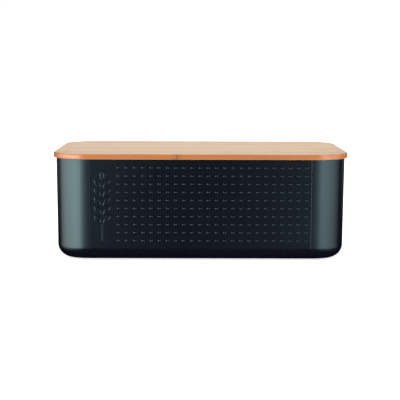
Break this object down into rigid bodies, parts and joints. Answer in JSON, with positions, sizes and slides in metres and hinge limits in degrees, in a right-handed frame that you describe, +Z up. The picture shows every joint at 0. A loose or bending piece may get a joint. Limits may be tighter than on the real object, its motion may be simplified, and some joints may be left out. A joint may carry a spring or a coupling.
{
  "type": "bread bin",
  "caption": "Rectangular moulded bread bin with round corners, dimpled side panels and a loose bamboo lid that doubles as a cutting board.",
  "frame": {"origin": "middle of the bin's footprint, on the surface the feet stand on", "axes": "+X along the bin to the right as seen from the front, +Y from the front wall to the back wall, +Z up through the lid"},
  "size_m": [0.366, 0.226, 0.132],
  "materials": {
    "tub_plastic": "satin",
    "bamboo": "satin, lightly oiled",
    "foot_rubber": "matte"
  },
  "bodies": {
    "bin": {"bin_shell": "tub_plastic", "foot_front_left": "foot_rubber", "foot_front_right": "foot_rubber", "foot_back_left": "foot_rubber", "foot_back_right": "foot_rubber"},
    "lid": {"lid_face_strip_01": "bamboo", "lid_face_strip_02": "bamboo", "lid_face_strip_03": "bamboo", "lid_face_strip_04": "bamboo", "lid_face_strip_05": "bamboo", "lid_face_strip_06": "bamboo", "lid_face_strip_07": "bamboo", "lid_face_strip_08": "bamboo", "lid_face_strip_09": "bamboo", "lid_face_strip_10": "bamboo", "lid_face_strip_11": "bamboo", "lid_under_strip_01": "bamboo", "lid_under_strip_02": "bamboo", "lid_under_strip_03": "bamboo", "lid_under_strip_04": "bamboo", "lid_under_strip_05": "bamboo", "lid_under_strip_06": "bamboo", "lid_under_strip_07": "bamboo", "lid_under_strip_08": "bamboo", "lid_under_strip_09": "bamboo", "lid_under_strip_10": "bamboo"}
  },
  "joints": [
    {"name": "lid_lift", "type": "slide", "parent": "bin", "child": "lid", "axis": [0, 0, 1], "range_m": [0, 0.2]}
  ]
}
